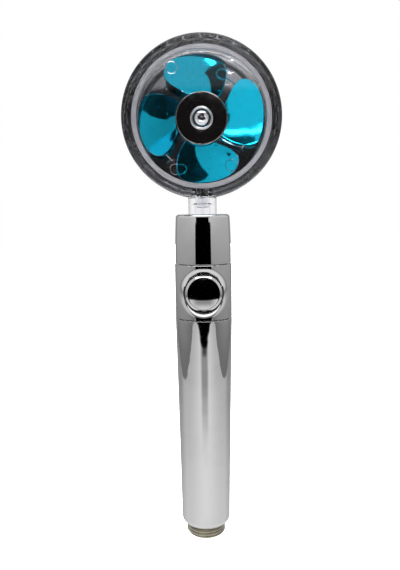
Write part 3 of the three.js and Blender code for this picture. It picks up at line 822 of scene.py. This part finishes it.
class SHOWER_OT_propeller(bpy.types.Operator):
    """Builds the mirror propeller with its hub trim"""

    bl_idname = "shower.propeller"
    bl_label = "Propeller"

    def execute(self, context):
        sizes = context.scene.shower_sizes
        looks = finishes()
        settle(propeller(sizes), "propeller", "teal_mirror", looks["Teal mirror"], "impeller")
        settle(hub_cap(sizes), "propeller", "dark_mirror", looks["Dark mirror"], "hub_cap")
        settle(hub_ring(sizes), "propeller", "chrome_plate", looks["Chrome plate"], "hub_ring")
        settle(hub_dome(), "propeller", "chrome_plate", looks["Chrome plate"], "hub_dome")
        return {"FINISHED"}


# ------------------------------------------------------------------ handle


def collar(sizes):
    """Swivel collar: widest at its foot, with a rounded shoulder round the neck."""
    rows, round_r, top_r, bore = 16, 1.6, 14.1, 12.1
    lip, ceiling = NECK_R + 0.3, STEM_SHOULDER + 0.2
    tall = COLLAR_TOP - round_r - COLLAR_FOOT
    side = [
        (COLLAR_R - (COLLAR_R - top_r) * (i / rows) ** 2, COLLAR_FOOT + tall * i / rows)
        for i in range(1, rows)
    ]
    sleeve = spun("collar_sleeve", [
        (bore, COLLAR_FOOT), (COLLAR_R, COLLAR_FOOT), *side,
        *rounded(top_r - round_r, COLLAR_TOP - round_r, round_r, 0, 90, 8),
        (lip, COLLAR_TOP), (lip, ceiling), (bore, ceiling),
    ], 160, loop=True)
    bevel(sleeve, sizes.edge_round * 0.5)
    return smooth(sleeve)


def housing():
    """Sleeve of the button section, with a dished lip round the button's hole."""
    rows, bore = 64, 12.9
    chamfer, joint_line = 0.12, 0.25
    foot, top = HOUSING_FOOT + joint_line, HOUSING_TOP - joint_line
    tall = top - foot - 2 * chamfer
    wall = [(HOUSING_R, foot + chamfer + tall * i / rows) for i in range(rows + 1)]
    sleeve = spun("button_sleeve", [
        (bore, foot), (HOUSING_R - chamfer, foot), *wall, (HOUSING_R - chamfer, top), (bore, top),
    ], 224, loop=True)
    outside = HOUSING_R + 5
    hole = spun("hole", [(0, 0), (POCKET_R, 0), (POCKET_R, outside), (0, outside)], 128, BUTTON_Z)
    combine(sleeve, hole, "DIFFERENCE")
    dish_width, dish_depth = 2.2, 1.1
    for vertex in sleeve.data.vertices:
        x, y, z = vertex.co / MM
        radius = math.hypot(x, y)
        if y > 0 or radius < HOUSING_R - 0.05:
            continue
        beyond = (math.hypot(x, z - BUTTON_Z) - POCKET_R) / dish_width
        if beyond < 1:
            pulled = (radius - dish_depth * (1 - max(beyond, 0)) ** 2) / radius
            vertex.co.x *= pulled
            vertex.co.y *= pulled
    return smooth(sleeve, 40)


def button_guide(sizes):
    """Dark ring that the button slides in."""
    inner, back = BUTTON_R + 0.3, 7.15
    guide = spun("button_guide_ring", [
        (inner, back), (GUIDE_R, back), (GUIDE_R, GUIDE_FACE), (inner, GUIDE_FACE),
    ], 96, BUTTON_Z, loop=True)
    bevel(guide, sizes.edge_round)
    return smooth(guide)


def push_button(sizes):
    """Bevelled rim and a low mirror dome over a hollow skirt."""
    rows, face_r, rim_front, face_front = 16, 8.3, 13.7, 14.75
    skirt_r, skirt_back, web_back = 8.5, 10.3, 13
    swell = BUTTON_FACE - face_front
    dome = [(face_r * (1 - i / rows), face_front + swell * (1 - (1 - i / rows) ** 2)) for i in range(rows)]
    button = spun("stop_button", [
        (0, web_back), (skirt_r, web_back), (skirt_r, skirt_back), (BUTTON_R, skirt_back),
        (BUTTON_R, rim_front), (face_r + 0.1, face_front), *dome, (0, BUTTON_FACE),
    ], 128, BUTTON_Z)
    bevel(button, sizes.edge_round * 0.6, 3, 35)
    return smooth(button, 28)


def button_spring():
    """An open coil round the valve stem, from the gland to the button."""
    coil_r, wire_r, turns, sides = 4.8, 0.35, 3.5, 12
    deselect()
    bpy.ops.mesh.primitive_circle_add(vertices=sides, radius=wire_r * MM)
    coil = bpy.context.object
    coil.name = coil.data.name = "return_spring"
    edit(coil)
    bpy.ops.transform.translate(value=(coil_r * MM, -(SPRING_BACK + wire_r) * MM, 0))
    done()
    step = coil.modifiers.new("Coil", "SCREW")
    step.axis = "Y"
    step.angle = 2 * math.pi * turns
    step.screw_offset = -(SPRING_FRONT - SPRING_BACK - 2 * wire_r) * MM
    step.steps = step.render_steps = int(36 * turns)
    bpy.ops.object.modifier_apply(modifier=step.name)
    edit(coil)
    bpy.ops.transform.translate(value=(0, 0, BUTTON_Z * MM))
    bpy.ops.mesh.fill_holes(sides=sides)
    done()
    weld(coil)
    return smooth(coil, 50)


def grip_radius(z):
    """The grip's slow taper, from its foot to its top."""
    share = max(0.0, (z - TAPER_FOOT) / (SHELL_TOP - TAPER_FOOT))
    return TAPER_FOOT_R + (SHELL_R - TAPER_FOOT_R) * share ** 1.1


def grip(sizes):
    """The long hollow grip, turned in at the foot round the inlet."""
    rows, side_foot, side_top = 24, 14, SHELL_TOP - 1.5
    wall, lip, lip_top = 1.7, THREAD_R + 0.3, 8.6
    socket_r, socket_foot = 12.9, 108
    heights = [side_foot + (side_top - side_foot) * i / rows for i in range(rows + 1)]
    side = [(grip_radius(z), z) for z in heights]
    shell = spun("grip_shell", [
        (lip, SHELL_FOOT), (SHELL_R - 3.5, SHELL_FOOT), *rounded(10.0, 9.6, 3.2, -60, 0, 8), *side,
        (SHELL_R, SHELL_TOP), (socket_r, SHELL_TOP), (socket_r, socket_foot), (grip_radius(85) - wall, 85),
        (grip_radius(30) - wall, 30), (11.4, lip_top), (lip, lip_top),
    ], 160, loop=True)
    bevel(shell, sizes.edge_round)
    return smooth(shell)


def thread_rod():
    """A helical thread cut level at both ends, inside a chamfered envelope."""
    crest = 0.12
    outline = [(THREAD_ROOT_R, 0), (THREAD_R, 0.5 - crest), (THREAD_R, 0.5 + crest), (THREAD_ROOT_R, 1)]
    points = [Vector((r, 0, (share - 2) * THREAD_PITCH)) * MM for r, share in outline]
    rod = outline_of("inlet_thread", points)
    done()
    step = rod.modifiers.new("Helix", "SCREW")
    step.screw_offset = THREAD_PITCH * MM
    step.iterations = 8
    step.steps = step.render_steps = 64
    step.use_merge_vertices = True
    bpy.ops.object.modifier_apply(modifier=step.name)
    weld(rod)
    for height, keep in ((0.0, "clear_inner"), (THREAD_TOP, "clear_outer")):
        edit(rod)
        bpy.ops.mesh.bisect(plane_co=(0, 0, height * MM), plane_no=(0, 0, 1), use_fill=True, **{keep: True})
        done()
    weld(rod)
    envelope = spun("envelope", [
        (0, -0.01), (THREAD_ROOT_R - 0.3, -0.01), (THREAD_R + 0.05, 1.2), (THREAD_R + 0.05, THREAD_TOP - 0.8),
        (THREAD_ROOT_R, THREAD_TOP + 0.02), (0, THREAD_TOP + 0.02),
    ], 96)
    return combine(rod, envelope, "INTERSECT")


def inlet():
    """The threaded inlet: a flange and a pin above the thread, and a stepped bore for washer and screen."""
    flange_r, flange_foot, flange_top = 11.2, 8.9, 11
    pin_r, pin_top = 8.2, 22
    rod = thread_rod()
    shank = spun("shank", [
        (0, THREAD_TOP - 0.4), (THREAD_ROOT_R, THREAD_TOP - 0.4), (THREAD_ROOT_R, flange_foot),
        (flange_r, flange_foot), (flange_r, flange_top), (pin_r, flange_top), (pin_r, pin_top), (0, pin_top),
    ], 96)
    combine(rod, shank, "UNION")
    mouth_r, waist_r, outlet_r = 7.2, 5, 6.3
    bore = spun("bore", [
        (0, -1), (mouth_r + 0.3, -1), (mouth_r + 0.3, 0), (mouth_r, 0.3), (mouth_r, 9.4), (waist_r, 9.4),
        (waist_r, 14), (outlet_r, 14), (outlet_r, pin_top + 1), (0, pin_top + 1),
    ], 64)
    combine(rod, bore, "DIFFERENCE")
    return smooth(rod, 30)


class SHOWER_OT_handle(bpy.types.Operator):
    """Builds the chrome handle: collar, button section, button, grip and inlet"""

    bl_idname = "shower.handle"
    bl_label = "Handle"

    def execute(self, context):
        sizes = context.scene.shower_sizes
        looks = finishes()
        chrome = looks["Chrome plate"]
        settle(collar(sizes), "handle", "chrome_plate", chrome, "swivel_collar")
        settle(housing(), "handle", "chrome_plate", chrome, "button_housing")
        settle(button_guide(sizes), "handle", "black_plastic", looks["Black moulding"], "button_guide")
        settle(push_button(sizes), "button", "chrome_plate", chrome, "push_button")
        spring = settle(button_spring(), "handle", "stainless_steel", looks["Drawn steel"], "button_spring")
        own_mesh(spring)
        settle(grip(sizes), "handle", "chrome_plate", chrome, "handle_shell")
        settle(inlet(), "handle", "nickel_plate", looks["Nickel plate"], "inlet_connector")
        return {"FINISHED"}


# ------------------------------------------------------------------ inner pieces

SLOT_LOOKS = {
    "chrome_plate": "Chrome plate",
    "clear_plastic": "Clear moulding",
    "teal_mirror": "Teal mirror",
    "dark_mirror": "Dark mirror",
    "silicone": "Silicone seal",
    "black_rubber": "Black rubber",
    "black_plastic": "Black moulding",
    "white_plastic": "White moulding",
    "nickel_plate": "Nickel plate",
    "stainless_steel": "Drawn steel",
}


class SHOWER_OT_inner_pieces(bpy.types.Operator):
    """Finishes the pieces that are kept as they are, each by its slot"""

    bl_idname = "shower.inner_pieces"
    bl_label = "Inner pieces"

    def execute(self, context):
        looks = finishes()
        slots = {entry["node"]: entry["material_slot"] for entry in frame["record"]["subparts"]}
        for name, node in frame["nodes"].items():
            if node.hide_render:
                continue
            node.data.materials.clear()
            node.data.materials.append(looks[SLOT_LOOKS[slots[name]]])
        return {"FINISHED"}


# ------------------------------------------------------------------ studio

# In metres: the mirrored table's height, and the place of the screens in front.
TABLE = -0.5
FRONT_SCREEN = -3.2
WHITE = (1.0, 1.0, 1.0)


def floor(colours):
    """A wide pale floor. It shines evenly to the camera and isn't mirrored, for mirrors see the table top."""
    deselect()
    bpy.ops.mesh.primitive_circle_add(vertices=96, radius=3.0, fill_type="NGON")
    piece = bpy.context.object
    piece.name = "studio_floor"
    edit(piece)
    bpy.ops.mesh.inset(thickness=0.8)
    bpy.ops.transform.translate(value=(0, 0, -0.4 * MM))
    done()
    finish = Finish("Studio floor")
    seen = finish.node("ShaderNodeLightPath").outputs["Is Camera Ray"]
    glow = finish.ranged(seen, 0.0, 1.0, 0.25, 1.0)
    grain = finish.bumped(finish.noise(300, 3), 0.02 * MM)
    piece.data.materials.append(finish.set(
        Base_Color=tuple(colours.floor), Roughness=0.9, Specular_IOR_Level=0.0, Normal=grain,
        Emission_Color=WHITE, Emission_Strength=glow))
    piece.visible_glossy = False
    piece.visible_transmission = False


def light_panel(piece, brightness, seen_by):
    """Makes a panel that shows in mirrors ("glossy") or to what lies behind clear plastic."""
    finish = Finish(piece.name)
    glow = brightness(finish) if callable(brightness) else brightness
    piece.data.materials.append(finish.set(
        Base_Color=(0.0, 0.0, 0.0), Specular_IOR_Level=0.0, Roughness=1.0,
        Emission_Color=WHITE, Emission_Strength=glow))
    piece.visible_camera = False
    piece.visible_diffuse = False
    piece.visible_shadow = False
    piece.visible_glossy = seen_by == "glossy"
    piece.visible_transmission = seen_by == "transmission"


def screen(name, corners, bottom, top, brightness):
    """An upright studio panel through a row of floor points, seen in the mirrors."""
    piece = outline_of(name, [Vector((x, y, bottom)) for x, y in corners])
    bpy.ops.mesh.extrude_region_move(TRANSFORM_OT_translate={"value": (0, 0, top - bottom)})
    done()
    light_panel(piece, brightness, "glossy")


def card(name, corners, distance, brightness):
    """A flat card in front of the head, seen only through clear plastic. Corners are degrees (aside, up)."""
    points = []
    for aside, up in corners:
        a, e = math.radians(aside), math.radians(up)
        height = HEAD_Z * MM + distance * math.tan(e) / math.cos(a)
        points.append(Vector((distance * math.tan(a), -distance, height)))
    piece = outline_of(name, points)
    bpy.ops.mesh.edge_face_add()
    done()
    light_panel(piece, brightness, "transmission")


def table_top():
    """The floor that mirrors see: pale, darker to the sides, with a soft dark tongue towards the front."""
    deselect()
    bpy.ops.mesh.primitive_plane_add(size=14)
    piece = bpy.context.object
    piece.name = "table_top"
    edit(piece)
    bpy.ops.transform.translate(value=(0, 0, TABLE))
    done()

    def brightness(finish):
        x, y, _ = finish.split(finish.place)
        aside = finish.math("ABSOLUTE", x)
        ahead = finish.math("MULTIPLY", y, -1.0)
        pale = finish.ranged(aside, 0.0, 2.0, 0.82, 0.52)
        behind = finish.ranged(y, 0.0, 1.2, 1.0, 0.55)
        width = finish.math("MAXIMUM", finish.math("MULTIPLY", ahead, 0.36), 0.05)
        streak = finish.ranged(finish.math("DIVIDE", aside, width), 0.35, 1.0, 1.0, 0.0)
        reach = finish.ranged(ahead, 1.05, 1.8, 0.0, 0.6)
        grey = finish.math("MULTIPLY", streak, reach)
        softened = finish.math("MULTIPLY", pale, finish.math("SUBTRACT", 1.0, grey))
        softened = finish.math("MULTIPLY", softened, behind)
        to_screen = finish.math("MULTIPLY", finish.math("ADD", y, -FRONT_SCREEN), 1 / 1.05)
        across = finish.math("POWER", finish.math("MULTIPLY", aside, 1 / 2.2), 2.0)
        black = finish.ranged(finish.math("ADD", to_screen, across), 0.9, 1.05)
        return finish.math("MULTIPLY", softened, black)

    light_panel(piece, brightness, "glossy")


def rising_grey(finish):
    """Dim at the foot of a panel and brighter above."""
    up = finish.split(finish.place)[2]
    stops = ((0.0, 0.18), (0.06, 0.28), (0.2, 0.37), (0.45, 0.46), (0.8, 0.65))
    return finish.greys(finish.ranged(up, TABLE, 1.0), stops)


def head_cards():
    """Cards mirrored by the propeller: a large dark one with a grey window, two bright ones and a dim one."""

    def rising_dark(finish):
        up = finish.split(finish.place)[2]
        return finish.ranged(up, -0.6, 0.1, 0.16, 0.02)

    def window(finish):
        aside = finish.split(finish.place)[0]
        return finish.ranged(aside, -0.4, 0.4, 0.25, 0.55)

    card("dark_card", [
        (-31, 18), (-8, 31), (0, 41), (14, 42), (20, 15), (27, 11.5), (27, -1), (9, -8), (5, -12.6),
        (0, -13.2), (-4, -11.5), (-6, -8), (-6, -2), (-25, -1),
    ], 3.0, rising_dark)
    card("window_card", [(-8, 11.5), (8, 11.5), (8, 19), (-8, 19)], 2.9, window)
    card("glint_card", [(22, 13.5), (23.6, 13), (24.3, 16), (22.6, 17.5)], 2.9, 8.0)
    card("band_card", [
        (-13, -10), (-10, -12), (-4, -13.4), (0, -14.6), (4.5, -13.4), (10, -12.9), (10, -13.7), (4, -14.8),
        (0, -16.4), (-4, -17.2), (-9, -17.5), (-12, -14),
    ], 3.1, 14.0)
    card("root_card", [(-13, -20), (-30, -14), (-32, -18), (-14, -27), (-3, -33), (1, -31)], 3.05, 0.15)


def surroundings():
    """White to the camera, with other greys for mirrors, for clear plastic and for dull surfaces."""
    world = bpy.data.worlds.new("Studio")
    bpy.context.scene.world = world
    world.use_nodes = True
    tree = Nodes(world.node_tree)
    _, back, up = tree.split(tree.node("ShaderNodeTexCoord").outputs["Generated"])
    rays = tree.node("ShaderNodeLightPath").outputs

    around = tree.greys(up, ((0.0, 0.45), (0.25, 0.42), (0.6, 0.5), (0.8, 1.3), (0.95, 2.2)))
    mirrored = tree.mixed(tree.ranged(back, 0.2, 0.8), around, 0.3)
    lower = tree.mixed(tree.ranged(up, -0.3, 0.1), 1.15, 0.78)
    front = tree.mixed(tree.ranged(up, 0.4, 0.7), lower, 0.5)
    ceiling = tree.mixed(tree.ranged(up, 0.74, 0.92), front, 11.0)
    through = tree.mixed(tree.ranged(back, 0.5, 0.85), ceiling, 1.0)
    diffuse = tree.mixed(tree.ranged(up, 0.3, 1.0), 0.35, 5.0)
    seen = tree.mixed(rays["Is Transmission Ray"], mirrored, through)
    seen = tree.mixed(rays["Is Diffuse Ray"], seen, diffuse)
    seen = tree.mixed(rays["Is Camera Ray"], seen, 1.0)
    tree.link(seen, world.node_tree.nodes["Background"].inputs["Color"])


def softbox(name, place, target, size, power):
    """An area lamp that lights dull surfaces and isn't mirrored."""
    deselect()
    bpy.ops.object.light_add(type="AREA", location=place)
    lamp = bpy.context.object
    lamp.name = name
    lamp.data.shape = "RECTANGLE"
    lamp.data.size, lamp.data.size_y = size
    lamp.data.energy = power
    lamp.rotation_euler = (Vector(target) - Vector(place)).to_track_quat("-Z", "Y").to_euler()
    lamp.visible_glossy = False
    lamp.visible_transmission = False


def camera():
    """A camera close in front of the shower, tipped down a little."""
    distance, eye, sideways = 315 * MM, 176.5 * MM, -1.84 * MM
    pitch, roll = math.radians(7.0), math.radians(-0.73)
    data = bpy.data.cameras.new("Camera")
    data.sensor_width = 36
    data.lens = 37.71
    data.clip_start = 0.01
    view = bpy.data.objects.new("Camera", data)
    bpy.context.scene.collection.objects.link(view)
    turn = Matrix.Rotation(math.pi / 2 - pitch, 4, "X") @ Matrix.Rotation(roll, 4, "Z")
    view.matrix_world = Matrix.Translation((sideways, -distance, eye)) @ turn
    bpy.context.scene.camera = view


class SHOWER_OT_stage(bpy.types.Operator):
    """Sets up the pale floor, the soft light round the object and the camera"""

    bl_idname = "shower.stage"
    bl_label = "Studio"

    def execute(self, context):
        colours = context.scene.shower_colours
        surroundings()
        floor(colours)
        table_top()
        front, side, left, right = FRONT_SCREEN, 2.0, -1.76, 1.45
        sill, lintel, cornice, top = 0.45, 0.86, 1.5, 2.5
        screen("dark_screen", [(-side, front), (side, front)], TABLE, sill, 0.0)
        screen("dark_screen_upper", [(left, front), (right, front)], sill, lintel, 0.0)
        screen("left_gap_screen", [(left, front), (-side, front)], sill, lintel, 0.6)
        screen("right_gap_screen", [(right, front), (side, front)], sill, lintel, 0.6)
        for sign, name in ((-1, "left"), (1, "right")):
            corners = [(sign * 1.9, 2.0), (sign * 1.9, -1.0), (sign * side, front)]
            screen(name + "_screen", corners, TABLE, 3.2, rising_grey)
        screen("grey_screen", [(-side, front), (side, front)], lintel, cornice, 0.22)
        screen("top_screen", [(-side, front), (side, front)], cornice, top, 0.09)
        head_cards()
        softbox("key_light", (-0.9, -0.7, 1.3), (0, 0, 0.15), (0.7, 0.7), 12)
        softbox("top_light", (0.05, -0.25, 1.1), (0, 0, 0.2), (0.4, 0.2), 9)
        camera()
        context.scene.view_settings.view_transform = "Standard"
        return {"FINISHED"}


# ------------------------------------------------------------------ panel and run


class SHOWER_PT_panel(bpy.types.Panel):
    """Sizes, colours and the steps that build the shower"""

    bl_idname = "SHOWER_PT_panel"
    bl_label = "Hand shower"
    bl_space_type = "VIEW_3D"
    bl_region_type = "UI"
    bl_category = "Hand shower"

    def draw(self, context):
        for group in (context.scene.shower_sizes, context.scene.shower_colours):
            for name in group.__annotations__:
                self.layout.prop(group, name)
        for operator in OPERATORS:
            self.layout.operator(operator.bl_idname)


OPERATORS = (SHOWER_OT_stage, SHOWER_OT_head, SHOWER_OT_propeller, SHOWER_OT_handle, SHOWER_OT_inner_pieces)
CLASSES = (ShowerSizes, ShowerColours, *OPERATORS, SHOWER_PT_panel)


def register():
    for each in CLASSES:
        bpy.utils.register_class(each)
    bpy.types.Scene.shower_sizes = bpy.props.PointerProperty(type=ShowerSizes)
    bpy.types.Scene.shower_colours = bpy.props.PointerProperty(type=ShowerColours)


def unregister():
    del bpy.types.Scene.shower_colours
    del bpy.types.Scene.shower_sizes
    for each in reversed(CLASSES):
        bpy.utils.unregister_class(each)


def main():
    register()
    bpy.ops.shower.stage()
    bpy.ops.shower.head()
    bpy.ops.shower.propeller()
    bpy.ops.shower.handle()
    bpy.ops.shower.inner_pieces()


if __name__ == "__main__":
    main()
